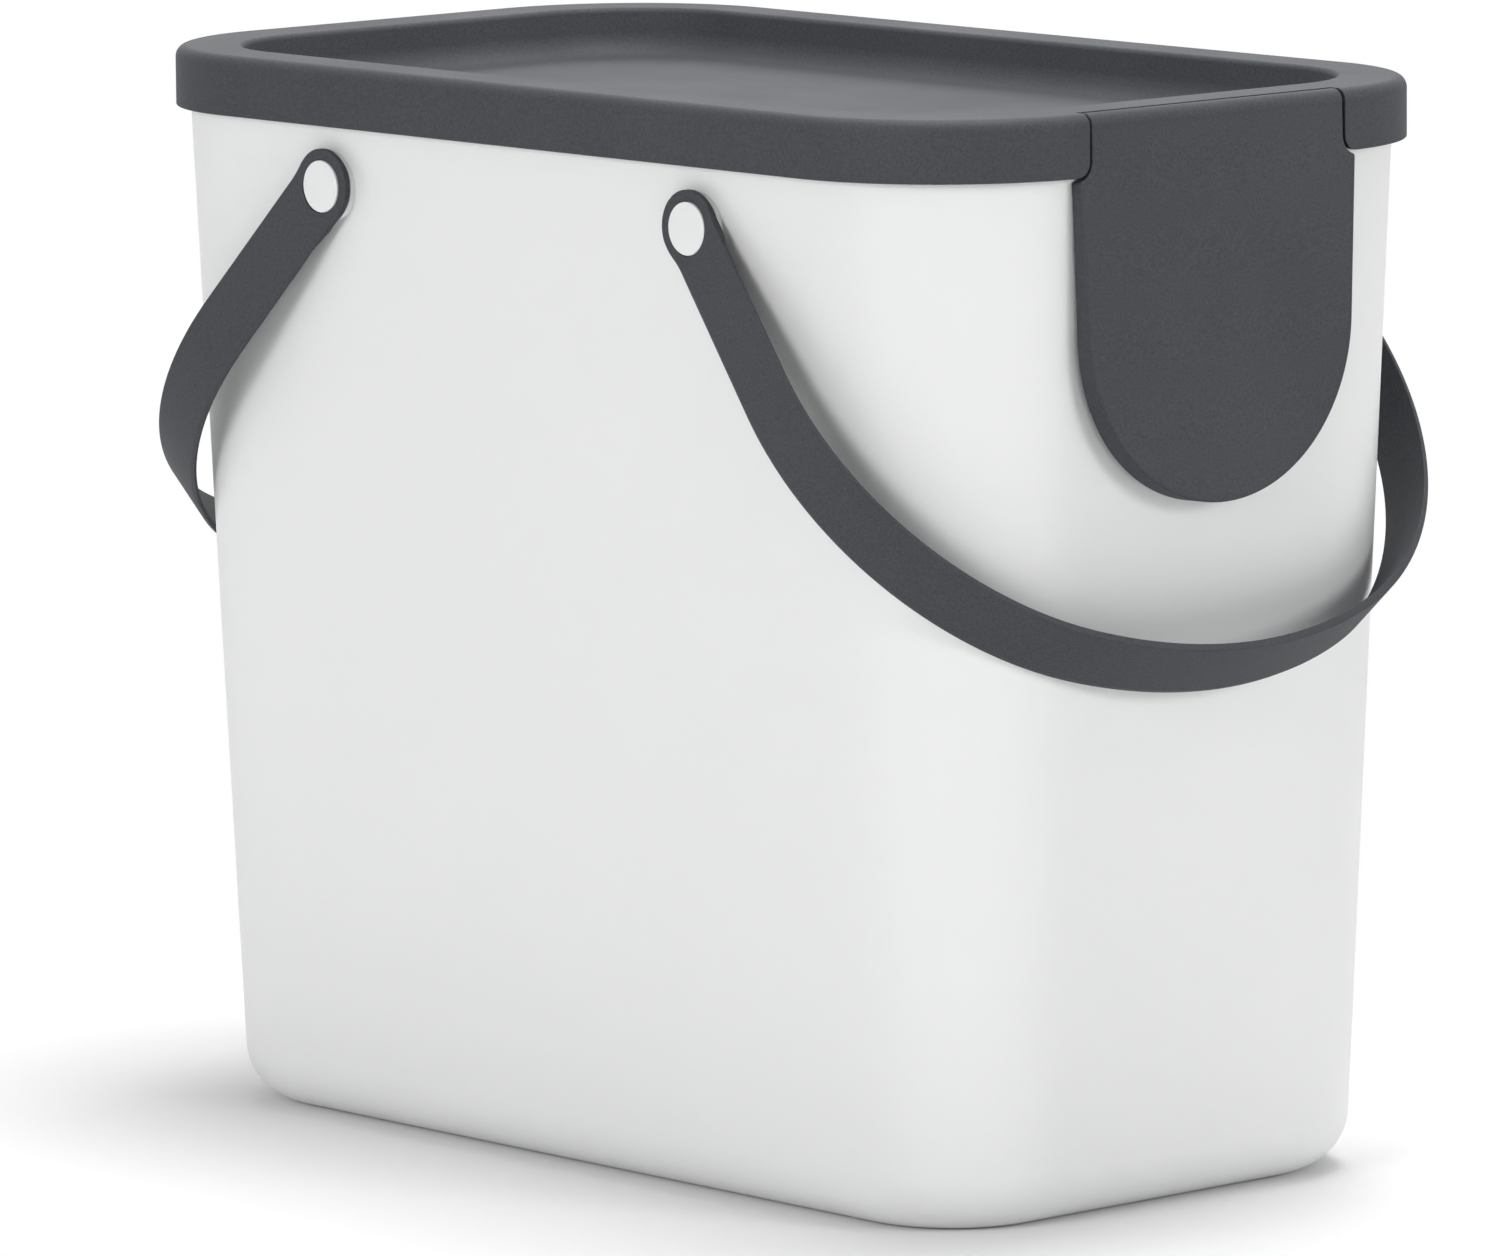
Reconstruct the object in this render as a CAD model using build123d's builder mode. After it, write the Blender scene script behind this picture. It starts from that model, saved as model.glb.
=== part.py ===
from build123d import *

import os
from math import acos, atan2, cos, degrees, hypot, radians, sin, tan

# Waste sorting bin: a tapered plastic bucket with an overhanging lid, a flap that closes the
# throw-in mouth at the front, and two flat bow handles that turn on snap-in buttons.
# The origin is on the floor under the middle of the bin. Z is up, X is the bin's width, and
# the flap is at the -Y end. Left and right are as seen from the flap's side.
# Sizes are in millimetres and angles in degrees.

os.makedirs("parts", exist_ok=True)

# Whole bin, measured over the lid
bin_length = 400
bin_width = 235
bin_height = 346

# Bucket
wall_draft = 2.515
bucket_wall = 2.4
bucket_corner_radius = 60.7
bucket_floor_radius = 19
bucket_lip_radius = 0.8
lid_seat_gap = 0.3

# Lid
lid_wall = 2.4
rim_height = 19.3
rim_wall = 2.2
rim_overhang = 4
rim_corner_radius = 62
rim_edge_radius = 3.8
tray_side_band = 20
tray_end_band = 22.5
tray_corner_radius = 42
tray_depth = 15.5
tray_draft = 9
tray_floor_radius = 9
tray_edge_radius = 2
rib_wall = 1.8
rib_depth = 9
rib_gap = 0.8

# Flap
flap_half_width = 58.4
flap_neck_half_width = 53.3
flap_length = 119.3
flap_side_lean = 3.2
flap_lean = 1.6
flap_wall = 2.4
flap_face_set_back = 0.08
flap_skirt_wall = 2.2
flap_skirt_depth = 16
flap_edge_radius = 0.9
flap_shoulder_radius = 1.2
flap_shoulder_gap = 1.2
flap_seat_gap = 0.35
flap_stub_radius = 2.2
flap_stub_reach = 2.2
flap_stub_gap = 0.06

# Notch in the rim that takes the flap, and the mouth in the bucket behind it
notch_gap = 1
notch_corner_radius = 5
barrel_gap = 0.35
barrel_cover = 2.8
web_wall = 2.6
mouth_margin = 5.7
mouth_relief = 0.6

# Handles
pivot_drop = 19.1
pivot_from_end = 112.5
handle_rest_gap = 0.3
handle_reach = 182
handle_bulge = 7.1
handle_widest_at = 73.8
handle_grip_radius = 165.7
handle_arm_strap = 1.3
handle_grip_strap = 2.7
handle_neck_half_height = 11.1
handle_grip_half_height = 11.7
arm_bend_radius = 60
crank_angle = 30
crank_start = 9
crank_radius = 4
eye_radius = 12
eye_strap = 1.9
eye_blend_radius = 19

# Pivot buttons and the bosses that they sit in
boss_radius = 11
boss_gap = 1.05
button_head_radius = 8.3
button_head_gap = 0.25
button_head_recess = 1
button_head_play = 0.15
button_head_height = 1.4
button_head_dome = 0.7
button_head_edge = 0.4
button_neck_radius = 5
button_eye_gap = 0.08
button_hole_gap = 0.05
button_barb_radius = 5.9
button_barb_play = 0.6
button_barb_length = 4.2
button_tip_radius = 3.7
button_slot_width = 1.6
button_slot_depth = 6.2

# How far a cut runs past the face where it comes out
overrun = 1

# Places worked out from the sizes above
half_length = bin_length / 2
half_width = bin_width / 2
wall_slope = tan(radians(wall_draft))
rim_bottom = bin_height - rim_height
plate_bottom = bin_height - lid_wall
bucket_height = plate_bottom - lid_seat_gap
edge_overhang = rim_overhang - (bucket_height - rim_bottom) * wall_slope

hinge_y = -half_length + rim_edge_radius
hinge_z = bin_height - rim_edge_radius
barrel_radius = rim_edge_radius
notch_half_width = flap_neck_half_width + notch_gap
notch_back = hinge_y + barrel_radius + barrel_gap
web_outer = notch_half_width + web_wall
shoulder_drop = hinge_z - rim_bottom + flap_shoulder_gap
side_lean = radians(flap_side_lean)
side_drop = flap_length - shoulder_drop
tip_radius = (flap_half_width * cos(side_lean) - side_drop * sin(side_lean)) / (1 - sin(side_lean))
tip_drop = flap_length - tip_radius

mouth_half_width = tip_radius - mouth_margin
mouth_centre = hinge_z - tip_drop
mouth_top = rim_bottom - mouth_relief

pivot_height = rim_bottom - pivot_drop
pivot_offset = half_length - pivot_from_end
pivot_wall = half_width - rim_overhang - pivot_drop * wall_slope
eye_face = half_width
eye_back = eye_face - eye_strap
boss_face = eye_back - boss_gap
handle_half_width = half_width + handle_bulge
strap_end = handle_reach + overrun

ends = {"front": -1, "rear": 1}
sides = {"left": -1, "right": 1}


def tapered_block(half_x, half_y, corner, top, depth, draft, floor_radius):
    # A rounded block that narrows from its top down to a rounded floor.
    with BuildPart() as block:
        with BuildSketch(Plane(origin=(0, 0, top), x_dir=(1, 0, 0), z_dir=(0, 0, -1))):
            RectangleRounded(2 * half_x, 2 * half_y, corner)
        extrude(amount=depth, taper=draft)
        fillet(block.faces().sort_by(Axis.Z)[0].edges(), floor_radius)
    return block.part


def bucket_block(grow, floor):
    # The bucket's outer form, grown by a gap or shrunk by a wall, down to a floor height.
    return tapered_block(
        half_width - edge_overhang + grow,
        half_length - edge_overhang + grow,
        bucket_corner_radius + grow,
        bucket_height,
        bucket_height - floor,
        wall_draft,
        bucket_floor_radius + grow,
    )


def tray_block(wall):
    # The sunk tray's inside, or with a wall its outside.
    return tapered_block(
        half_width - tray_side_band + wall,
        half_length - tray_end_band + wall,
        tray_corner_radius + wall,
        bin_height,
        tray_depth + wall,
        tray_draft,
        tray_floor_radius + wall,
    )


def pivot_plane(side, end, reach):
    # A plane across a pivot's axis, facing out, at a distance from the bin's middle.
    return Plane(
        origin=(side * reach, end * pivot_offset, pivot_height),
        x_dir=(0, 1, 0),
        z_dir=(side, 0, 0),
    )


# Mouth: a round-bottomed opening in the bucket's front wall, wider beside the lid's webs
with BuildPart() as mouth:
    with BuildSketch(Plane.XZ.offset(half_length / 2)):
        with Locations((0, mouth_centre)):
            Circle(mouth_half_width)
            Rectangle(
                2 * mouth_half_width,
                mouth_top - mouth_centre,
                align=(Align.CENTER, Align.MIN),
            )
        with Locations((0, mouth_top)):
            Rectangle(
                2 * (web_outer + mouth_relief),
                rim_height + mouth_relief,
                align=(Align.CENTER, Align.MIN),
            )
    extrude(amount=half_length)

# Bin body: the thin-walled bucket, with a round boss at each pivot
with BuildPart() as bin_body:
    add(bucket_block(0, 0))
    add(bucket_block(-bucket_wall, bucket_wall), mode=Mode.SUBTRACT)
    fillet(bin_body.faces().sort_by(Axis.Z)[-1].edges(), bucket_lip_radius)
    for side in sides.values():
        for end in ends.values():
            with BuildSketch(pivot_plane(side, end, pivot_wall - bucket_wall / 2)):
                Circle(boss_radius)
            extrude(amount=boss_face - pivot_wall + bucket_wall / 2)
            with Locations(pivot_plane(side, end, boss_face)):
                Hole(button_neck_radius + button_hole_gap, depth=boss_radius)
    add(mouth.part, mode=Mode.SUBTRACT)
bin_body.part.label = "bin_body"


# Space under the rim, less the block at the front that the notch is cut from
with BuildPart() as rim_hollow:
    with BuildSketch(Plane.XY.offset(rim_bottom)):
        RectangleRounded(
            bin_width - 2 * rim_wall,
            bin_length - 2 * rim_wall,
            rim_corner_radius - rim_wall,
        )
        with Locations((0, -half_length)):
            Rectangle(
                2 * web_outer,
                2 * (half_length + notch_back + rim_wall),
                mode=Mode.SUBTRACT,
            )
    extrude(amount=plate_bottom - rim_bottom)

# Ring under the lid that centres it inside the bucket
with BuildPart() as centring_rib:
    rib_inset = edge_overhang + bucket_wall + rib_gap
    with BuildSketch(Plane.XY.offset(plate_bottom - rib_depth)):
        RectangleRounded(
            bin_width - 2 * rib_inset,
            bin_length - 2 * rib_inset,
            bucket_corner_radius + edge_overhang - rib_inset,
        )
        offset(amount=-rib_wall, mode=Mode.SUBTRACT)
    extrude(amount=rib_depth)

# Notch: room for the flap's barrel and neck, with the rim's lower corners rounded off
with BuildPart() as notch:
    with BuildSketch(Plane.YZ.offset(-notch_half_width)):
        with Locations((hinge_y, hinge_z)):
            Circle(barrel_radius + barrel_gap)
        with Locations((notch_back, rim_bottom - overrun)):
            Rectangle(
                half_length + notch_back + overrun,
                hinge_z - rim_bottom + overrun,
                align=(Align.MAX, Align.MIN),
            )
        with Locations((hinge_y + barrel_cover, hinge_z)):
            Rectangle(
                half_length + hinge_y + barrel_cover + overrun,
                rim_edge_radius + overrun,
                align=(Align.MAX, Align.MIN),
            )
    extrude(amount=2 * notch_half_width)
    for side in sides.values():
        with BuildSketch(Plane.XZ.offset(-notch_back)):
            with Locations((side * notch_half_width, rim_bottom)):
                Rectangle(2 * notch_corner_radius, 2 * notch_corner_radius)
            with Locations(
                (
                    side * (notch_half_width + notch_corner_radius),
                    rim_bottom + notch_corner_radius,
                )
            ):
                Circle(notch_corner_radius, mode=Mode.SUBTRACT)
        extrude(amount=half_length + notch_back + overrun)

# Lid: rim, flat band and sunk tray in one thin shell
with BuildPart() as lid:
    with BuildSketch(Plane.XY.offset(rim_bottom)):
        RectangleRounded(bin_width, bin_length, rim_corner_radius)
    extrude(amount=rim_height)
    fillet(lid.faces().sort_by(Axis.Z)[-1].edges(), rim_edge_radius)
    add(rim_hollow.part, mode=Mode.SUBTRACT)
    add(centring_rib.part)
    add(tray_block(lid_wall))
    add(tray_block(0), mode=Mode.SUBTRACT)
    fillet(lid.faces().sort_by(Axis.Z)[-1].inner_wires()[0].edges(), tray_edge_radius)
    add(notch.part, mode=Mode.SUBTRACT)
    with BuildSketch(Plane.YZ.offset(-web_outer)):
        with Locations((hinge_y, hinge_z)):
            Circle(flap_stub_radius + flap_stub_gap)
    extrude(amount=2 * web_outer, mode=Mode.SUBTRACT)
lid.part.label = "lid"


# The flap hangs from its barrel, whose roundness carries on the rim's rounded edge.
# Its plane goes through the hinge line and leans out with it, and its face lies a trace
# behind the barrel's front.
lean = radians(flap_lean)
flap_plane = Plane(
    origin=(0, hinge_y, hinge_z),
    x_dir=(1, 0, 0),
    z_dir=(0, -cos(lean), sin(lean)),
)
flap_face = flap_plane.offset(barrel_radius - flap_face_set_back)
flap_back = flap_face.offset(-flap_wall)



def flap_sides(radius, top_drop):
    """Corners of the flap's tapering part, whose sides run into a round end of a radius."""
    top = (radius + (tip_drop - top_drop) * sin(side_lean)) / cos(side_lean)
    end = radius * cos(side_lean)
    end_drop = tip_drop + radius * sin(side_lean)
    return [(-top, -top_drop), (-end, -end_drop), (end, -end_drop), (top, -top_drop)]


# Space behind the flap's plate, inside its skirt
with BuildPart() as flap_hollow:
    with BuildSketch(flap_back):
        with Locations((0, -tip_drop)):
            Circle(tip_radius - flap_skirt_wall)
        inner_sides = flap_sides(tip_radius - flap_skirt_wall, shoulder_drop + flap_skirt_wall)
        Polygon(*inner_sides, align=None)
    extrude(amount=-flap_skirt_depth)

# Barrel and the two hinge stubs, moulded on
with BuildPart() as barrel:
    with BuildSketch(Plane.YZ.offset(-flap_neck_half_width)):
        with Locations((hinge_y, hinge_z)):
            Circle(barrel_radius)
    extrude(amount=2 * flap_neck_half_width)
    fillet(barrel.edges().filter_by(GeomType.CIRCLE), flap_edge_radius)
    with BuildSketch(Plane.YZ.offset(-notch_half_width - flap_stub_reach)):
        with Locations((hinge_y, hinge_z)):
            Circle(flap_stub_radius)
    extrude(amount=2 * (notch_half_width + flap_stub_reach))

# Flap: a plate with a round end, and a skirt that is trimmed to follow the bucket
with BuildPart() as flap:
    neck_blend_radius = notch_corner_radius + notch_gap
    with BuildSketch(flap_face) as outline:
        Rectangle(2 * flap_neck_half_width, tip_drop, align=(Align.CENTER, Align.MAX))
        Polygon(*flap_sides(tip_radius, shoulder_drop - neck_blend_radius), align=None)
        for side in sides.values():
            with Locations(
                (
                    side * (flap_neck_half_width + neck_blend_radius),
                    neck_blend_radius - shoulder_drop,
                )
            ):
                Circle(neck_blend_radius, mode=Mode.SUBTRACT)
        with Locations((0, -tip_drop)):
            Circle(tip_radius)
        columns = outline.vertices().group_by(Axis.X)
        shoulders = [columns[0].sort_by(Axis.Y)[-1], columns[-1].sort_by(Axis.Y)[-1]]
        fillet(shoulders, flap_shoulder_radius)
    extrude(amount=-flap_skirt_depth)
    front_edges = flap.faces().sort_by(Axis((0, 0, 0), flap_plane.z_dir))[-1].edges()
    fillet(front_edges.sort_by(Axis((0, 0, 0), flap_plane.y_dir))[:-1], flap_edge_radius)
    add(bucket_block(flap_seat_gap, 0), mode=Mode.SUBTRACT)
    add(flap_hollow.part, mode=Mode.SUBTRACT)
    with BuildSketch(flap_back):
        with Locations((0, -shoulder_drop)):
            Rectangle(
                2 * (flap_half_width + overrun),
                shoulder_drop + overrun,
                align=(Align.CENTER, Align.MIN),
            )
    extrude(amount=-flap_skirt_depth, mode=Mode.SUBTRACT)
    add(barrel.part)
flap.part.label = "flap"


# Each handle is a bow in a plane of its own: x is the bin's width, and y runs from the
# pivots to the grip. A straight arm leans out from the eye and runs into one side arc,
# and that into the grip's arc. The strap is thinner at its arms than at its grip, so each
# of its two faces has arcs of its own.
def bow_face(at_arm, at_grip):
    # The arcs of a face that is set in by these depths: centre, radius, start and end.
    widest = handle_half_width - at_arm
    grip_radius = handle_grip_radius - at_grip
    grip_y = handle_reach - handle_grip_radius
    rise = handle_widest_at - grip_y
    side_radius = (grip_radius**2 - widest**2 - rise**2) / (2 * (grip_radius - widest))
    side_x = widest - side_radius
    arm_x = eye_face - at_arm - side_x
    arm_angle = acos(side_radius / hypot(arm_x, handle_widest_at))
    arm_angle -= atan2(handle_widest_at, arm_x)
    grip_angle = atan2(rise, side_x)
    return [
        (side_x, handle_widest_at, side_radius, arm_angle, grip_angle),
        (0, grip_y, grip_radius, grip_angle, radians(90)),
    ]


outer_arcs = bow_face(0, 0)
inner_arcs = bow_face(handle_arm_strap, handle_grip_strap)

# The eye's back stays flat as far as its boss, and meets the arm's thinner back in a crank
crank = radians(crank_angle)
arm_lean = -inner_arcs[0][3]
crank_run = eye_strap - handle_arm_strap + crank_start * tan(arm_lean)
crank_run /= tan(crank) - tan(arm_lean)
crank_corner = (eye_back + crank_run * tan(crank), crank_start + crank_run)


def bucket_gap(x, y, z):
    # Distance from a point to the bucket's outer wall.
    past_x = abs(x) - (half_width - edge_overhang - bucket_corner_radius)
    past_y = abs(y) - (half_length - edge_overhang - bucket_corner_radius)
    corner = bucket_corner_radius - (bucket_height - z) * wall_slope
    reach = hypot(max(past_x, 0), max(past_y, 0)) + min(max(past_x, past_y), 0)
    return (reach - corner) * cos(radians(wall_draft))


def strap_half_height(along):
    # Half the strap's width at a distance from the pivots.
    widening = handle_grip_half_height - handle_neck_half_height
    return handle_neck_half_height + widening * along / strap_end


def rest_gap(hang):
    # Least gap between the strap's lower inner edge and the bucket, for a hanging angle.
    gaps = []
    for centre_x, centre_y, radius, start, end in inner_arcs:
        for step in range(rest_steps + 1):
            angle = start + (end - start) * step / rest_steps
            along = centre_y + radius * sin(angle)
            x = centre_x + radius * cos(angle)
            y = pivot_offset + along * cos(hang) - strap_half_height(along) * sin(hang)
            z = pivot_height - along * sin(hang) - strap_half_height(along) * cos(hang)
            gaps.append(bucket_gap(x, y, z))
    return min(gaps)


# The handles hang as far down as the bucket's corners let them
rest_steps = 60
too_high, too_low = 0, radians(90)
for halving in range(rest_steps):
    hang = (too_high + too_low) / 2
    if rest_gap(hang) > handle_rest_gap:
        too_high = hang
    else:
        too_low = hang

bow_plane = Plane(
    origin=(0, -pivot_offset, pivot_height),
    x_dir=(1, 0, 0),
    z_dir=(0, sin(hang), -cos(hang)),
)
strap_plane = Plane(origin=bow_plane.origin, x_dir=bow_plane.y_dir, z_dir=(1, 0, 0))


def bow_block(corners, bends, arcs):
    # Everything inside one face of the bow, past both edges of the strap.
    with BuildPart() as block:
        with BuildSketch(bow_plane):
            with BuildLine():
                centre_x, centre_y, radius, start, end = arcs[0]
                arm_end = (centre_x + radius * cos(start), centre_y + radius * sin(start))
                FilletPolyline(*corners, arm_end, radius=bends)
                for centre_x, centre_y, radius, start, end in arcs:
                    CenterArc(
                        (centre_x, centre_y), radius, degrees(start), degrees(end - start)
                    )
                mirror(about=Plane.YZ)
                Line((-corners[0][0], corners[0][1]), corners[0])
            make_face()
        extrude(amount=eye_radius + overrun, both=True)
    return block.part


# The strap's outline seen along the bin's width, with its round eye
with BuildPart() as strap_outline:
    with BuildSketch(strap_plane) as outline:
        with BuildLine():
            Polyline(
                (0, strap_half_height(0)),
                (strap_end, strap_half_height(strap_end)),
                (strap_end, -strap_half_height(strap_end)),
                (0, -strap_half_height(0)),
                close=True,
            )
        make_face()
        Circle(eye_radius)
        fillet(outline.vertices().group_by(Axis.X)[0], eye_blend_radius)
    extrude(amount=handle_half_width + overrun, both=True)

# Front handle: a flat strap bent into a bow, with an eye at each end
with BuildPart() as front_handle:
    add(bow_block([(eye_face, -2 * eye_radius), (eye_face, 0)], [arm_bend_radius], outer_arcs))
    add(
        bow_block(
            [(eye_back, -2 * eye_radius), (eye_back, crank_start), crank_corner],
            [crank_radius, crank_radius],
            inner_arcs,
        ),
        mode=Mode.SUBTRACT,
    )
    add(strap_outline.part, mode=Mode.INTERSECT)
    for side in sides.values():
        recess_plane = pivot_plane(side, ends["front"], eye_face - button_head_recess)
        with BuildSketch(recess_plane):
            Circle(button_head_radius + button_head_gap)
        extrude(amount=2 * eye_strap, mode=Mode.SUBTRACT)
        with Locations(recess_plane):
            Hole(button_neck_radius + button_eye_gap, depth=2 * eye_strap)
front_handle.part.label = "front_handle"

# Rear handle: the same bow the other way round
with BuildPart() as rear_handle:
    mirror(front_handle.part, about=Plane.XZ)
rear_handle.part.label = "rear_handle"


# Buttons: a domed head outside the eye, and a split barb that snaps in behind the wall
head_back = eye_face - button_head_recess + button_head_play
head_edge = head_back + button_head_height
barb_back = pivot_wall - bucket_wall - button_barb_play
barb_tip = barb_back - button_barb_length
buttons = []
for end_name, end in ends.items():
    for side_name, side in sides.items():
        button_plane = Plane(
            origin=(0, end * pivot_offset, pivot_height),
            x_dir=(side, 0, 0),
            z_dir=(0, -side, 0),
        )
        with BuildPart() as button:
            with BuildSketch(button_plane) as profile:
                with BuildLine():
                    Polyline(
                        (head_edge, button_head_radius),
                        (head_back, button_head_radius),
                        (head_back, button_neck_radius),
                        (barb_back, button_neck_radius),
                        (barb_back, button_barb_radius),
                        (barb_tip, button_tip_radius),
                        (barb_tip, 0),
                        (head_edge + button_head_dome, 0),
                    )
                    ThreePointArc(
                        (head_edge + button_head_dome, 0),
                        (head_edge + button_head_dome * 3 / 4, button_head_radius / 2),
                        (head_edge, button_head_radius),
                    )
                make_face()
                rim_corner = profile.vertices().group_by(Axis.Y)[-1].sort_by(Axis.X)[-1]
                fillet(rim_corner, button_head_edge)
            revolve(axis=Axis(button_plane.origin, button_plane.x_dir))
            with BuildSketch(pivot_plane(side, end, barb_tip)):
                Rectangle(button_slot_width, 3 * button_barb_radius)
            extrude(amount=button_slot_depth, mode=Mode.SUBTRACT)
        button.part.label = f"{end_name}_{side_name}_button"
        buttons.append(button.part)


for piece in (bin_body.part, lid.part, flap.part, front_handle.part, rear_handle.part, *buttons):
    export_step(piece, f"parts/{piece.label}.step")
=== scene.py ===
from math import acos, atan2, cos, hypot, pi, radians, sin, sqrt, tan

import bpy
import bmesh
from mathutils import Matrix, Vector


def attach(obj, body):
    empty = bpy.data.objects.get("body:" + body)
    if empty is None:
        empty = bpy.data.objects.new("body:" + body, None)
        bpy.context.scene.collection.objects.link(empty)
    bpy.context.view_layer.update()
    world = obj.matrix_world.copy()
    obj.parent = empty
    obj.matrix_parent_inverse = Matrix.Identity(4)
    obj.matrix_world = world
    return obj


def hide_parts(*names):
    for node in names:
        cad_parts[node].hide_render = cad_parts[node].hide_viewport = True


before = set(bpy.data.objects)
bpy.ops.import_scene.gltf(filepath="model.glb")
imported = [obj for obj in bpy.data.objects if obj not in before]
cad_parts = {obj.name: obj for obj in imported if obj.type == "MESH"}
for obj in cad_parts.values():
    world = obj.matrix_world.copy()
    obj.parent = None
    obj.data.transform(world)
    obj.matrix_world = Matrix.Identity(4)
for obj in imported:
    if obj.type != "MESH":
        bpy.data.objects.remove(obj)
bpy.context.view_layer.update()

# The studio: the bin stands on a pale floor that fades into a white surround. The camera looks at
# the corner between a long side and the flap's end, from a little above the lid. A soft box stands
# on each side of the camera, one hangs above the bin, and one stands high behind it.
view_turn, view_rise, view_roll = radians(-41.805), radians(8.314), radians(-0.462)
look_at, look_from = Vector((-0.04884, -0.03689, 0.17179)), 3.62285
sensor_width, focal_pixels, picture_pixels = 36, 11503.94, 1495
box_aim = Vector((0, 0, 0.2))
fill_light, floor_white, floor_lift = 0.33, 0.88, 0.02
floor_reach, fade_start, fade_end, fade_stretch = 12, 0.26, 0.44, (1.4, 1, 1)


def add(name, data):
    """A Blender object around its data, in the scene."""
    thing = bpy.data.objects.new(name, data)
    bpy.context.scene.collection.objects.link(thing)
    return thing


def soft_box(name, place, width, height, watts):
    """A soft box of one size, standing at place and turned towards the bin."""
    light = bpy.data.lights.new(name, "AREA")
    light.shape = "RECTANGLE"
    light.size = width
    light.size_y = height
    light.energy = watts
    lamp = add(name, light)
    lamp.location = place
    lamp.rotation_euler = (box_aim - Vector(place)).to_track_quat("-Z", "Y").to_euler()


def knot(tree, kind, **settings):
    """A new node of a kind, with its settings and, by socket name, its plain values."""
    made = tree.nodes.new(kind)
    for key, value in settings.items():
        if key.replace("_", " ") in made.inputs:
            made.inputs[key.replace("_", " ")].default_value = value
        else:
            setattr(made, key, value)
    return made


def seen_rays(tree, kinds):
    """One socket that is 1 for the camera's and the mirrored rays, and 0 for the light's."""
    path = tree.nodes.new("ShaderNodeLightPath")
    seen = path.outputs["Is Camera Ray"]
    for kind in kinds:
        most = knot(tree, "ShaderNodeMath", operation="MAXIMUM")
        tree.links.new(seen, most.inputs[0])
        tree.links.new(path.outputs[kind], most.inputs[1])
        seen = most.outputs[0]
    return seen


def blend(tree, share, first, second):
    """A shader that goes from the first one to the second one as a share grows."""
    mix = tree.nodes.new("ShaderNodeMixShader")
    tree.links.new(share, mix.inputs["Fac"])
    tree.links.new(first.outputs[0], mix.inputs[1])
    tree.links.new(second.outputs[0], mix.inputs[2])
    return mix


def new_piece(name, form):
    """A Blender object made of a form."""
    mesh = bpy.data.meshes.new(name)
    form.to_mesh(mesh)
    form.free()
    return add(name, mesh)


def coat(piece, material):
    """Gives a piece its one material."""
    piece.data.materials.clear()
    piece.data.materials.append(material)


back = Vector((sin(view_turn) * cos(view_rise), -cos(view_turn) * cos(view_rise), sin(view_rise)))
level = Vector((cos(view_turn), sin(view_turn), 0))
upright = back.cross(level)
across = cos(view_roll) * level + sin(view_roll) * upright
upward = cos(view_roll) * upright - sin(view_roll) * level
lens = bpy.data.cameras.new("photo_camera")
lens.sensor_width = sensor_width
lens.lens = sensor_width * focal_pixels / picture_pixels
camera = add("photo_camera", lens)
turn = Matrix((across, upward, back)).transposed().to_4x4()
camera.matrix_world = Matrix.Translation(look_at + back * look_from) @ turn
bpy.context.scene.camera = camera
bpy.context.scene.view_settings.view_transform = "Standard"

soft_box("left_box", (-2.6, -0.5, 0.95), width=0.9, height=0.9, watts=27)
soft_box("right_box", (0.6, -2.55, 0.9), width=0.7, height=0.7, watts=19)
soft_box("top_box", (0.3, 0, 2.45), width=1.3, height=1.3, watts=48)
soft_box("back_box", (1.6, 1.8, 1.7), width=1.8, height=1, watts=10)

world = bpy.data.worlds.new("white_surround")
bpy.context.scene.world = world
world.use_nodes = True
tree = world.node_tree
tree.nodes.clear()
fill = knot(tree, "ShaderNodeBackground", Color=(1, 1, 1, 1), Strength=fill_light)
white = knot(tree, "ShaderNodeBackground", Color=(1, 1, 1, 1), Strength=1)
surround = blend(tree, seen_rays(tree, ("Is Glossy Ray", "Is Transmission Ray")), fill, white)
tree.links.new(surround.outputs[0], tree.nodes.new("ShaderNodeOutputWorld").inputs["Surface"])

form = bmesh.new()
bmesh.ops.create_grid(form, x_segments=12, y_segments=12, size=floor_reach)
floor = new_piece("floor", form)
paint = bpy.data.materials.new("pale_floor")
paint.use_nodes = True
tree = paint.node_tree
tree.nodes.clear()
seen = seen_rays(tree, ("Is Glossy Ray",))
matt = knot(tree, "ShaderNodeBsdfDiffuse", Color=(floor_white, floor_white, floor_white, 1))
lift = knot(tree, "ShaderNodeEmission", Strength=floor_lift)
lifted = tree.nodes.new("ShaderNodeAddShader")
tree.links.new(matt.outputs[0], lifted.inputs[0])
tree.links.new(lift.outputs[0], lifted.inputs[1])
place = tree.nodes.new("ShaderNodeTexCoord")
wide = knot(tree, "ShaderNodeVectorMath", operation="MULTIPLY")
wide.inputs[1].default_value = fade_stretch
tree.links.new(place.outputs["Object"], wide.inputs[0])
away = knot(tree, "ShaderNodeVectorMath", operation="LENGTH")
tree.links.new(wide.outputs[0], away.inputs[0])
fade = knot(tree, "ShaderNodeMapRange", interpolation_type="SMOOTHSTEP", From_Min=fade_start,
            From_Max=fade_end)
tree.links.new(away.outputs["Value"], fade.inputs["Value"])
far = knot(tree, "ShaderNodeMath", operation="MULTIPLY")
tree.links.new(fade.outputs["Result"], far.inputs[0])
tree.links.new(seen, far.inputs[1])
plain = knot(tree, "ShaderNodeEmission", Strength=1)
ground = blend(tree, far.outputs[0], blend(tree, seen, matt, lifted), plain)
tree.links.new(ground.outputs[0], tree.nodes.new("ShaderNodeOutputMaterial").inputs["Surface"])
coat(floor, paint)

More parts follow.
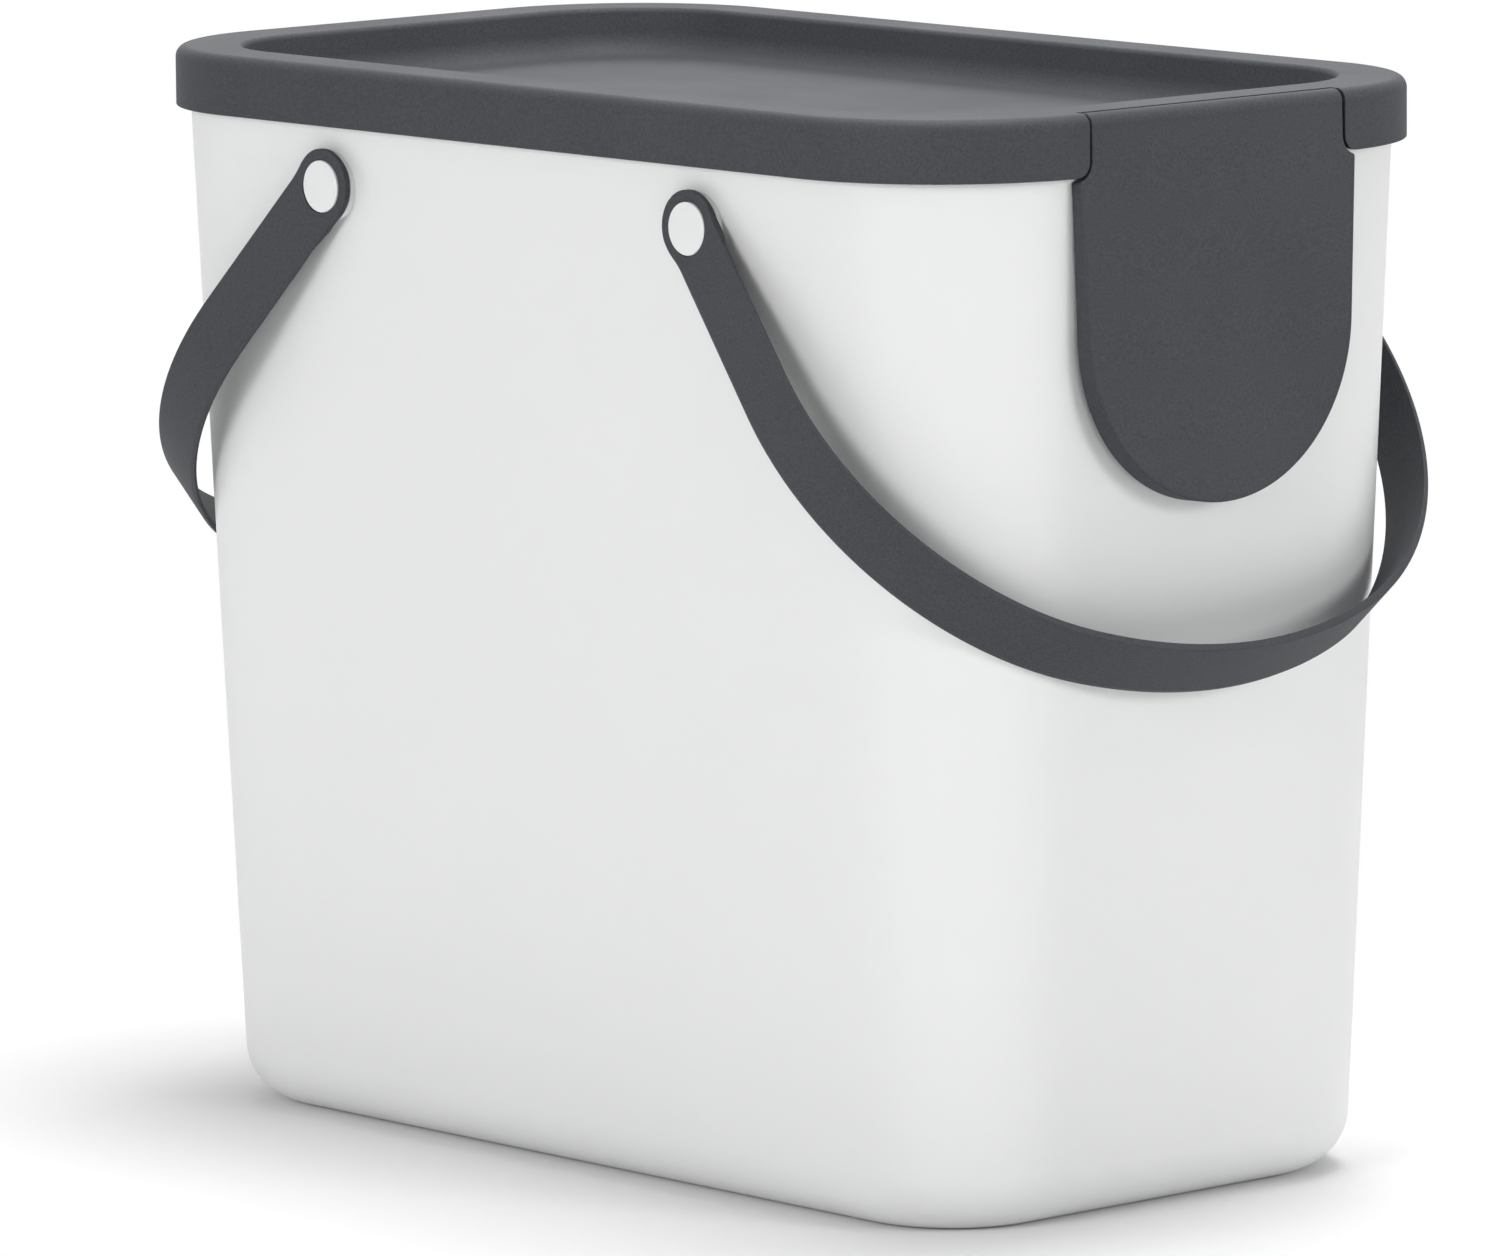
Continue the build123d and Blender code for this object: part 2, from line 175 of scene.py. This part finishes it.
# The bucket: one injection moulding in white polypropylene, 2.4 mm thick, with a satin skin.
# Its walls taper to the floor, its corners are wide rounds, and a round boss stands out at each
# pivot. The throw-in mouth is a round-bottomed opening in the front wall, behind the flap.
bucket_size, bucket_top, wall_lean = (0.11423, 0.19673, 0.0607), 0.3433, radians(2.515)
wall, floor_round, lip_round = 0.0024, 0.019, 0.0008
wall_heights = (0.05, 0.1, 0.15, 0.2, 0.25, 0.3, 0.33, bucket_top - lip_round)
pivot_y, pivot_z = 0.0875, 0.3076
boss_root, boss_face, boss_radius = 0.1115, 0.11455, 0.011
bore_start, bore_length, bore_radius = 0.1, 0.02, 0.00505
mouth_half, mouth_middle, mouth_top, mouth_wide = 0.049991, 0.278591, 0.3261, 0.0575
over_bucket, before_bucket, behind_mouth = 0.36, -0.25, -0.1
corner_steps, short_steps, long_steps, soft_edge = 24, 12, 26, 0.0003


def sweep(start, end, steps):
    """Even steps from one value to another, both ends included."""
    return [start + (end - start) * step / steps for step in range(steps + 1)]


def rounded_ring(size, inset, height):
    """Points round a rounded rectangle, set in from its size, counted the same way at every size."""
    half_x, half_y, corner = (length - inset for length in size)
    corners = ((1, 1, short_steps), (-1, 1, long_steps), (-1, -1, short_steps), (1, -1, long_steps))
    points = []
    for quarter, (side_x, side_y, steps) in enumerate(corners):
        centre = Vector((side_x * (half_x - corner), side_y * (half_y - corner), height))
        for step in range(corner_steps + 1):
            angle = pi / 2 * (quarter + step / corner_steps)
            points.append(centre + corner * Vector((cos(angle), sin(angle), 0)))
        next_x, next_y, _ = corners[(quarter + 1) % 4]
        next_centre = Vector((next_x * (half_x - corner), next_y * (half_y - corner), height))
        goal = next_centre + corner * Vector((cos(angle), sin(angle), 0))
        start = points[-1]
        points += [start.lerp(goal, step / steps) for step in range(1, steps)]
    return points


def lean_in(height):
    """How far the bucket's wall has leaned in at a height, from its place at the top edge."""
    return (bucket_top - height) * tan(wall_lean)


def loft(rings):
    """A closed skin over rings of points, with a face at each end."""
    form = bmesh.new()
    loops = [[form.verts.new(point) for point in ring] for ring in rings]
    for lower, upper in zip(loops, loops[1:]):
        for index in range(len(lower)):
            form.faces.new((lower[index - 1], lower[index], upper[index], upper[index - 1]))
    form.faces.new(loops[0])
    form.faces.new(loops[-1])
    bmesh.ops.recalc_face_normals(form, faces=form.faces)
    return form


def prism(outline, start, end):
    """A closed form between two copies of an outline, moved by start and by end."""
    return loft([[point + Vector(start) for point in outline], [point + Vector(end) for point in outline]])


def lathe(centre, axis, profile, steps=72):
    """A turned form: rings along an axis, at distances from the centre and of given radii."""
    axis = Vector(axis)
    sideways = axis.orthogonal().normalized()
    other = axis.cross(sideways)
    angles = [2 * pi * step / steps for step in range(steps)]
    return loft([[Vector(centre) + along * axis + radius * (cos(angle) * sideways + sin(angle) * other)
                  for angle in angles] for along, radius in profile])


def disc(centre, axis, radius, thickness):
    """A round block that starts at a centre and grows along an axis."""
    return lathe(centre, axis, ((0, radius), (thickness, radius)), steps=64)


def settle(piece):
    """Turns a piece's modifiers into its mesh."""
    bpy.context.view_layer.update()
    shaped = bpy.data.meshes.new_from_object(piece.evaluated_get(bpy.context.evaluated_depsgraph_get()))
    raw = piece.data
    piece.modifiers.clear()
    piece.data = shaped
    bpy.data.meshes.remove(raw)
    shaped.name = piece.name


def combine(piece, form, operation="DIFFERENCE"):
    """Cuts a closed form out of a piece, or joins it on."""
    tool = new_piece("tool", form)
    step = piece.modifiers.new("combine", "BOOLEAN")
    step.operation = operation
    step.solver = "EXACT"
    step.object = tool
    settle(piece)
    mesh = tool.data
    bpy.data.objects.remove(tool)
    bpy.data.meshes.remove(mesh)


def smooth(piece, edge=0.0, crease=32):
    """Rounds a piece's sharp edges by a small radius, and shades all but its creases smooth."""
    if edge:
        soften = piece.modifiers.new("soften", "BEVEL")
        soften.width = edge
        soften.segments = 3
        soften.limit_method = "ANGLE"
        soften.angle_limit = radians(35)
        settle(piece)
    piece.data.shade_smooth()
    piece.data.set_sharp_from_angle(angle=radians(crease))
    even = piece.modifiers.new("even", "WEIGHTED_NORMAL")
    even.keep_sharp = True
    even.weight = 80
    settle(piece)


def new_plastic(name):
    """A material with one plain surface shader, and its node tree and that shader."""
    material = bpy.data.materials.new(name)
    material.use_nodes = True
    return material, material.node_tree, material.node_tree.nodes["Principled BSDF"]


def noise(tree, scale, detail):
    """A noise pattern that stays fixed to the piece."""
    place = tree.nodes.new("ShaderNodeTexCoord")
    pattern = knot(tree, "ShaderNodeTexNoise", Scale=scale, Detail=detail)
    tree.links.new(place.outputs["Object"], pattern.inputs["Vector"])
    return pattern.outputs["Fac"]


def vary_tone(tree, skin, pattern, low, high):
    """Lets a skin's colour go between two tones with a pattern."""
    tone = knot(tree, "ShaderNodeMix", data_type="RGBA")
    factor, first, second = (tone.inputs[index] for index in (0, 6, 7))
    first.default_value = (*low, 1)
    second.default_value = (*high, 1)
    tree.links.new(pattern, factor)
    tree.links.new(tone.outputs[2], skin.inputs["Base Color"])


def vary_roughness(tree, skin, pattern, low, high):
    """Lets a skin's roughness go between two values with a pattern."""
    gloss = knot(tree, "ShaderNodeMapRange", From_Min=0.3, From_Max=0.7, To_Min=low, To_Max=high)
    tree.links.new(pattern, gloss.inputs["Value"])
    tree.links.new(gloss.outputs["Result"], skin.inputs["Roughness"])


def relief(tree, skin, pattern, strength, distance):
    """Adds a fine relief to a skin, on top of the relief that it already has."""
    bump = knot(tree, "ShaderNodeBump", Strength=strength, Distance=distance)
    tree.links.new(pattern, bump.inputs["Height"])
    if skin.inputs["Normal"].is_linked:
        tree.links.new(skin.inputs["Normal"].links[0].from_socket, bump.inputs["Normal"])
    tree.links.new(bump.outputs["Normal"], skin.inputs["Normal"])


# The skin runs up the outside of the wall, over the lip and down the inside.
bucket_rings = []
for inward, floor_height, bend in ((0, 0, floor_round), (wall, wall, floor_round - wall)):
    bend_height = floor_height + bend
    bend_inset = inward + lean_in(bend_height) + bend / cos(wall_lean)
    wall_line = [(bend_inset - bend * cos(angle), bend_height - bend * sin(angle))
                 for angle in sweep(pi / 2, wall_lean, 14)]
    wall_line += [(inward + lean_in(height), height) for height in wall_heights]
    way = -1 if inward else 1
    wall_line += [(inward + way * lip_round * (1 - sin(angle)), bucket_top - lip_round * (1 - cos(angle)))
                  for angle in sweep(pi / 3, 0, 2)]
    bucket_rings += [rounded_ring(bucket_size, inset, height) for inset, height in wall_line[::way]]
bucket = new_piece("bucket", loft(bucket_rings))
for end in (-1, 1):
    for side in (-1, 1):
        root, inside = ((side * x, end * pivot_y, pivot_z) for x in (boss_root, bore_start))
        combine(bucket, disc(root, (side, 0, 0), boss_radius, boss_face - boss_root), "UNION")
        combine(bucket, disc(inside, (side, 0, 0), bore_radius, bore_length))

mouth = [Vector((mouth_half * cos(angle), 0, mouth_middle + mouth_half * sin(angle)))
         for angle in sweep(pi, 2 * pi, 48)]
mouth += [Vector((x, 0, z)) for x, z in (
    (mouth_half, mouth_top), (mouth_wide, mouth_top), (mouth_wide, over_bucket),
    (-mouth_wide, over_bucket), (-mouth_wide, mouth_top), (-mouth_half, mouth_top))]
combine(bucket, prism(mouth, (0, before_bucket, 0), (0, behind_mouth, 0)))
smooth(bucket, soft_edge)

white_plastic, tree, skin = new_plastic("white_polypropylene")
cloud = noise(tree, scale=14, detail=3)
vary_tone(tree, skin, cloud, low=(0.752, 0.757, 0.757), high=(0.772, 0.777, 0.776))
vary_roughness(tree, skin, cloud, low=0.36, high=0.43)
relief(tree, skin, noise(tree, scale=700, detail=2), strength=0.06, distance=0.0002)
relief(tree, skin, noise(tree, scale=22, detail=1), strength=0.12, distance=0.002)
coat(bucket, white_plastic)
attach(bucket, "bin")
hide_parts("bin_body")

# The lid: one moulding in anthracite polypropylene. An overhanging rim, a flat band and a sunk
# tray make its top; below, a ring centres it in the bucket. The notch at the front takes the
# flap's barrel, between two webs that hold the flap's hinge stubs.
lid_top, rim_bottom, plate_under = 0.346, 0.3267, 0.3436
rim_size, rim_heights = (0.1175, 0.2, 0.062), (0.332, 0.337)
rim_round, rim_wall, rim_edge = 0.0038, 0.0022, 0.0004
tray_size, tray_lean, tray_floor, tray_wall = (0.0975, 0.1775, 0.042), radians(9), 0.3305, 0.0024
tray_floor_round, tray_floor_inset, tray_edge_round = 0.009, 0.012, 0.002
centring_size, centring_bottom, centring_wall = (0.111029, 0.193529, 0.0575), 0.3346, 0.0018
hinge_y, hinge_z, barrel_round, seat_gap, plate_start = -0.1962, 0.3422, 0.0038, 0.00035, 0.0028
seat = barrel_round + seat_gap
notch_half, notch_back, notch_round, notch_inner = 0.0543, hinge_y + seat, 0.005, 0.05
web_outer, web_front, web_back, web_top, web_bore = 0.0569, -0.1985, -0.18985, 0.3445, 0.00226
web_bottom = rim_bottom + 0.00001
before_lid, far_under_lid, under_rim, over_lid = -0.22, 0.3, 0.32, 0.36


def tray_side(grow, floor_height, bend):
    """Rings down the tray's side and round onto its floor, grown outwards by a wall."""
    middle = floor_height + bend
    inset = (lid_top - middle) * tan(tray_lean) + bend / cos(tray_lean) - grow
    rounds = [rounded_ring(tray_size, inset - bend * cos(angle), middle - bend * sin(angle))
              for angle in sweep(tray_lean, pi / 2, 12)]
    return rounds + [rounded_ring(tray_size, inset + tray_floor_inset, floor_height)]


def four_corners(left, right, low, high):
    """The corners of a rectangle, one after the other."""
    return (left, low), (right, low), (right, high), (left, high)


edge_reach = tray_edge_round * tan((pi / 2 - tray_lean) / 2)
lid_face = [rounded_ring(rim_size, rim_edge * (1 - sin(angle)), rim_bottom + rim_edge * (1 - cos(angle)))
            for angle in sweep(0, pi / 2, 3)]
lid_face += [rounded_ring(rim_size, 0, height) for height in rim_heights]
lid_face += [rounded_ring(rim_size, rim_round * (1 - cos(angle)), lid_top - rim_round * (1 - sin(angle)))
             for angle in sweep(0, pi / 2, 10)]
lid_face += [rounded_ring(tray_size, tray_edge_round * cos(angle) - edge_reach,
                          lid_top - tray_edge_round * (1 - sin(angle)))
             for angle in sweep(pi / 2, tray_lean, 8)]
lid_face += tray_side(0, tray_floor, tray_floor_round)
lid_under = tray_side(tray_wall, tray_floor - tray_wall, tray_floor_round + tray_wall)[::-1]
lid_under += [rounded_ring(size, inset, height) for size, inset, height in (
    (tray_size, (lid_top - plate_under) * tan(tray_lean) - tray_wall, plate_under),
    (centring_size, centring_wall, plate_under), (centring_size, centring_wall, centring_bottom),
    (centring_size, 0, centring_bottom), (centring_size, 0, plate_under),
    (rim_size, rim_wall, plate_under), (rim_size, rim_wall, rim_bottom))]
lid = new_piece("lid_shell", loft(lid_face[::-1] + lid_under[::-1]))

# A block is joined on behind the rim. The notch leaves its ends as webs and its back as a wall.
web_block = [Vector((x, y, 0)) for x, y in four_corners(-web_outer, web_outer, web_front, web_back)]
combine(lid, prism(web_block, (0, 0, web_bottom), (0, 0, web_top)), "UNION")
notch = [Vector((0, y, far_under_lid)) for y in (before_lid, notch_back)]
notch += [Vector((0, hinge_y + seat * cos(angle), hinge_z + seat * sin(angle)))
          for angle in sweep(0, acos(plate_start / seat), 10)]
notch += [Vector((0, y, over_lid)) for y in (hinge_y + plate_start, before_lid)]
combine(lid, prism(notch, (-notch_half, 0, 0), (notch_half, 0, 0)))
for side in (-1, 1):
    middle_x, middle_z = side * (notch_half + notch_round), rim_bottom + notch_round
    flare = [Vector((middle_x - side * notch_round * cos(angle), 0, middle_z - notch_round * sin(angle)))
             for angle in sweep(0, pi / 2, 12)]
    flare += [Vector((x, 0, z)) for x, z in (
        (middle_x, under_rim), (side * notch_inner, under_rim), (side * notch_inner, middle_z))]
    combine(lid, prism(flare, (0, before_lid, 0), (0, notch_back, 0)))
combine(lid, disc((-web_outer, hinge_y, hinge_z), (1, 0, 0), web_bore, 2 * web_outer))
smooth(lid, soft_edge)

dark_plastic, tree, skin = new_plastic("anthracite_polypropylene")
skin.inputs["Specular IOR Level"].default_value = 0.5
grain = noise(tree, scale=1400, detail=3)
vary_tone(tree, skin, grain, low=(0.006, 0.009, 0.013), high=(0.056, 0.060, 0.069))
vary_roughness(tree, skin, noise(tree, scale=18, detail=3), low=0.66, high=0.74)
relief(tree, skin, grain, strength=0.35, distance=0.0002)
coat(lid, dark_plastic)
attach(lid, "lid")
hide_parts("lid")

# The flap: one moulding in the lid's plastic. Its plate hangs from a barrel that carries on the
# rim's rounded edge, and widens below the rim into a tongue whose sides lean in to a round end.
# A skirt behind the plate follows the bucket, and the barrel's two stubs snap into the webs.
flap_lean, side_lean = radians(1.6), radians(3.2)
neck_half, tip_round, tip_middle = 0.0533, 0.055691, 0.063609
neck_bend, shoulder_bend, shoulder_drop = 0.006, 0.0012, 0.0167
plate_wall, skirt_wall, flap_depth, front_round, face_back = 0.0024, 0.0022, 0.016, 0.0007, 0.00008
skirt_gaps = ((0.19, 0.0043), (0.24, 0.0029), (0.29, 0.0015), (0.33, 0.00035), (0.36, 0.00035))
past_sides, past_hinge, past_skirt = 0.06, -0.02, 0.03
stub_end, stub_round, stub_radius = 0.0565, 0.0004, 0.0022
outward = Vector((0, -cos(flap_lean), sin(flap_lean)))
down = Vector((0, -sin(flap_lean), -cos(flap_lean)))


def on_flap(u, v, depth):
    """A point of the flap: across from its middle, down from its hinge, and in from its face."""
    return Vector((u, hinge_y, hinge_z)) + (barrel_round - face_back - depth) * outward + v * down


def bend_line(middle_u, middle_v, radius, angles):
    """Points of a bend in the flap's outline, each with the outline's direction outwards."""
    ways = [(cos(angle), -sin(angle)) for angle in angles]
    return [((middle_u + radius * way[0], middle_v + radius * way[1]), way) for way in ways]


bend_u, bend_v = neck_half + neck_bend, shoulder_drop - neck_bend
bend_apart = neck_bend + shoulder_bend
bend_off = bend_u * cos(side_lean) + (bend_v - tip_middle) * sin(side_lean) - tip_round + shoulder_bend
meet = acos(bend_off / bend_apart) - side_lean
round_u, round_v = bend_u - bend_apart * cos(meet), bend_v + bend_apart * sin(meet)
tongue = bend_line(0, tip_middle, tip_round, sweep(-side_lean, -pi / 2, 40))
side_end, side_out = tongue[0]
flap_half = [((neck_half, v), (1, 0)) for v in (0, bend_v / 2)]
flap_half += bend_line(bend_u, bend_v, -neck_bend, sweep(0, meet, 12))
flap_half += bend_line(round_u, round_v, shoulder_bend, sweep(meet, -side_lean, 7)[1:])
side_start = flap_half[-1][0]
side_line = list(zip(sweep(side_start[0], side_end[0], 8), sweep(side_start[1], side_end[1], 8)))
flap_half += [(spot, side_out) for spot in side_line[1:-1]]
flap_half += tongue
flap_outline = flap_half + [((-u, v), (-out_u, out_v)) for (u, v), (out_u, out_v) in flap_half[-2::-1]]


def flap_layer(inset, depth):
    """The flap's outline, set in from its edge, at a depth behind its face."""
    return [on_flap(u - inset * out_u, v - inset * out_v, depth)
            for (u, v), (out_u, out_v) in flap_outline]


layers = [flap_layer(front_round * (1 - sin(angle)), front_round * (1 - cos(angle)))
          for angle in sweep(0, pi / 2, 4)]
flap = new_piece("flap_plate", loft(layers + [flap_layer(0, flap_depth)]))
combine(flap, loft([rounded_ring(bucket_size, lean_in(height) - gap, height)
                    for height, gap in skirt_gaps]))
hollow_round, hollow_top = tip_round - skirt_wall, shoulder_drop + skirt_wall
hollow_half = (hollow_round + (tip_middle - hollow_top) * sin(side_lean)) / cos(side_lean)
hollow = [on_flap(hollow_round * cos(angle), tip_middle + hollow_round * sin(angle), 0)
          for angle in sweep(side_lean, pi - side_lean, 64)]
hollow += [on_flap(u, hollow_top, 0) for u in (-hollow_half, hollow_half)]
over_shoulder = [on_flap(u, v, 0)
                 for u, v in four_corners(-past_sides, past_sides, shoulder_drop, past_hinge)]
for room in (hollow, over_shoulder):
    combine(flap, prism(room, -plate_wall * outward, -past_skirt * outward))
barrel_end = [(neck_half - front_round * (1 - sin(angle)), barrel_round - front_round * (1 - cos(angle)))
              for angle in sweep(0, pi / 2, 4)]
barrel_end += [(neck_half, stub_radius), (stub_end - stub_round, stub_radius),
               (stub_end, stub_radius - stub_round)]
barrel = [(-along, radius) for along, radius in barrel_end[::-1]] + barrel_end
combine(flap, lathe((0, hinge_y, hinge_z), (1, 0, 0), barrel), "UNION")
smooth(flap)
coat(flap, dark_plastic)
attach(flap, "flap")
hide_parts("flap")

# The handles: each is one moulding in the lid's plastic, a thin flat strap that is bent into a
# bow with a round eye at each end. It thickens towards the grip, and its lower outer edge is
# bevelled. A recess in each eye takes a button's head, and the bow hangs on the bucket.
hang = radians(48.3115)
eye_face, eye_back, eye_radius, eye_steps, first_share = 0.1175, 0.1156, 0.012, 24, 0.6
arm_bend, arm_lean, arm_end = 0.06, 0.103482, 0.06296
side_x, side_y, side_radius, side_to = 0.019672, 0.0738, 0.104928, 1.241157
inner_x, inner_radius = 0.02179, 0.10151
grip_y, grip_radius = 0.0163, 0.1657
arm_wall, grip_wall, crank_start, crank_end = 0.0013, 0.0027, 0.0088, 0.0178
neck_half_width, grip_half_width, eye_blend, bow_reach = 0.0111, 0.0117, 0.036, 0.183
edge_round, bevel_start, bevel_full, bevel_round = 0.00035, -0.004, 0.006, 0.00025
arm_bevel, grip_bevel = (0.00125, 0.0005), (0.0023, 0.0009)
recess_floor, recess_radius, hole_start, eye_hole, cut_length = 0.1165, 0.00855, 0.11, 0.00508, 0.01
arm_places = (0.0048, 0.0064, 0.0077, 0.0088, 0.0098, 0.0109, 0.012, 0.0132, 0.0146, 0.0162, 0.018,
              0.024, 0.032, 0.042, 0.052)

blend_width = neck_half_width + eye_blend
blend_along = sqrt((eye_radius + eye_blend) ** 2 - blend_width ** 2)
eye_until = blend_along * eye_radius / (eye_radius + eye_blend)


def half_width(along):
    """The strap's half width at a distance from its pivot, and its edge's direction outwards."""
    if along < eye_until:
        wide = sqrt(eye_radius ** 2 - along ** 2)
        return wide, (along / eye_radius, wide / eye_radius)
    if along < blend_along:
        off = blend_along - along
        wide = blend_width - sqrt(eye_blend ** 2 - off ** 2)
        return wide, (off / eye_blend, (blend_width - wide) / eye_blend)
    return neck_half_width + (grip_half_width - neck_half_width) * along / bow_reach, (0, 1)


def strap_wall(x, along, angle):
    """The strap's thickness at a point of its outer face."""
    if along < crank_start:
        return (x - eye_back) / cos(angle)
    if along < crank_end:
        share = sin(pi / 2 * (along - crank_start) / (crank_end - crank_start))
        return (1 - share) * (x - eye_back) / cos(angle) + share * arm_wall
    if along < arm_end:
        return arm_wall
    shift = inner_x - side_x
    thick = side_radius - shift * cos(angle) - sqrt(inner_radius ** 2 - (shift * sin(angle)) ** 2)
    return min(grip_wall, thick)


def strap_section(x, along, angle):
    """The outline of the strap's section at a point of its outer face, which looks along angle."""
    wide, (edge_along, edge_across) = half_width(along)
    thick = strap_wall(x, along, angle)
    grown = min(1, max(0, (thick - arm_wall) / (grip_wall - arm_wall))) if along > crank_end else 0
    bevel = min(1, max(0, (along - bevel_start) / (bevel_full - bevel_start)))
    bevel_width, bevel_drop = (thin + grown * (full - thin) for thin, full in zip(arm_bevel, grip_bevel))
    quarter = [(edge_round * (1 - sin(turn)), edge_round * (1 - cos(turn)))
               for turn in sweep(0, pi / 2, 6)]
    slope = hypot(bevel_width, bevel_drop)
    cut = []
    for share in sweep(0, 1, 5):
        slid = bevel_round * share ** 2 / slope
        cut.append((slid * bevel_width, bevel_drop + bevel_round * (1 - share) ** 2 - slid * bevel_drop))
    cut.append((bevel_width, 0))
    mixed = [(plain[0] + bevel * (bent[0] - plain[0]), plain[1] + bevel * (bent[1] - plain[1]))
             for plain, bent in zip(quarter[::-1], cut)]
    section = [(1, inset, depth) for inset, depth in quarter]
    section += [(1, inset, thick - depth) for inset, depth in quarter[::-1]]
    section += [(-1, inset, thick - depth) for inset, depth in quarter]
    section += [(-1, inset, depth) for inset, depth in mixed]
    return [(x - depth * cos(angle), along - inset * edge_along - depth * sin(angle),
             upper * (wide - inset * edge_across)) for upper, inset, depth in section]


# Half a bow is listed from the eye to the grip's middle: each spot's place and its outward angle.
bend_start = -arm_bend * tan(arm_lean / 2)
eye_places = [-eye_radius * cos(pi / 2 * (step + first_share) / eye_steps) for step in range(eye_steps)]
bow = [(eye_face, along, 0) for along in eye_places if along < bend_start]
bow += [(eye_face + arm_bend * (1 - cos(angle)), bend_start + arm_bend * sin(angle), -angle)
        for angle in sweep(0, arm_lean, 7)]
arm_x, arm_along, _ = bow[-1]
curve_x, curve_along = side_x + side_radius * cos(arm_lean), side_y - side_radius * sin(arm_lean)
for along in arm_places:
    share = (along - arm_along) / (curve_along - arm_along)
    bow.append((arm_x + share * (curve_x - arm_x), along, -arm_lean))
bow += [(side_x + side_radius * cos(angle), side_y + side_radius * sin(angle), angle)
        for angle in sweep(-arm_lean, side_to, 40)]
bow += [(grip_radius * cos(angle), grip_y + grip_radius * sin(angle), angle)
        for angle in sweep(side_to, pi / 2, 12)[1:]]

for end, name in ((-1, "front_handle"), (1, "rear_handle")):
    bow_rings = []
    for mirror, spots in ((1, bow), (-1, bow[-2::-1])):
        for spot in spots:
            bow_rings.append([
                Vector((mirror * x, end * (pivot_y + along * cos(hang) + across * sin(hang)),
                        pivot_z - along * sin(hang) + across * cos(hang)))
                for x, along, across in strap_section(*spot)])
    handle = new_piece(name + "_bow", loft(bow_rings))
    for side in (-1, 1):
        recess, hole = ((side * x, end * pivot_y, pivot_z) for x in (recess_floor, hole_start))
        combine(handle, disc(recess, (side, 0, 0), recess_radius, cut_length))
        combine(handle, disc(hole, (side, 0, 0), eye_hole, cut_length))
    smooth(handle, crease=17)
    coat(handle, dark_plastic)
    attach(handle, name)
    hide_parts(name)

# The buttons: four snap-in studs moulded in the bucket's plastic. A slightly domed round head
# lies in the handle's eye. The split, barbed shank behind it is pressed through the boss and
# springs open inside the bucket.
head_under, head_top, head_radius, head_edge, under_edge = 0.11665, 0.11875, 0.0083, 0.0004, 0.0002
dome, shank_radius = 0.04956, 0.005
barb_back, barb_radius, barb_tip, barb_tip_radius = 0.109661, 0.0059, 0.105461, 0.0037
slot_half, slot_depth, slot_reach, before_tip = 0.0008, 0.0062, 0.01, 0.001
dome_edge = head_radius - head_edge
dome_turn = atan2(dome_edge, dome)
edge_x = head_top - dome * (1 - cos(dome_turn)) - head_edge * cos(dome_turn)
stud = [(barb_tip, barb_tip_radius), (barb_back, barb_radius), (barb_back, shank_radius),
        (head_under, shank_radius), (head_under, head_radius - under_edge),
        (head_under + under_edge, head_radius)]
stud += [(edge_x + head_edge * sin(turn), dome_edge + head_edge * cos(turn))
         for turn in sweep(0, pi / 2 - dome_turn, 5)]
stud += [(head_top - dome * (1 - cos(turn)), dome * sin(turn)) for turn in sweep(dome_turn, 0, 8)[1:-1]]
for end, end_name in ((-1, "front"), (1, "rear")):
    for side, side_name in ((-1, "left"), (1, "right")):
        name = end_name + "_" + side_name + "_button"
        button = new_piece(name + "_stud", lathe((0, end * pivot_y, pivot_z), (side, 0, 0), stud))
        slot = [Vector((0, end * pivot_y + y, pivot_z + z))
                for y, z in four_corners(-slot_half, slot_half, -slot_reach, slot_reach)]
        slot_start, slot_end = side * (barb_tip - before_tip), side * (barb_tip + slot_depth)
        combine(button, prism(slot, (slot_start, 0, 0), (slot_end, 0, 0)))
        smooth(button)
        coat(button, white_plastic)
        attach(button, "bin")
        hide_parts(name)
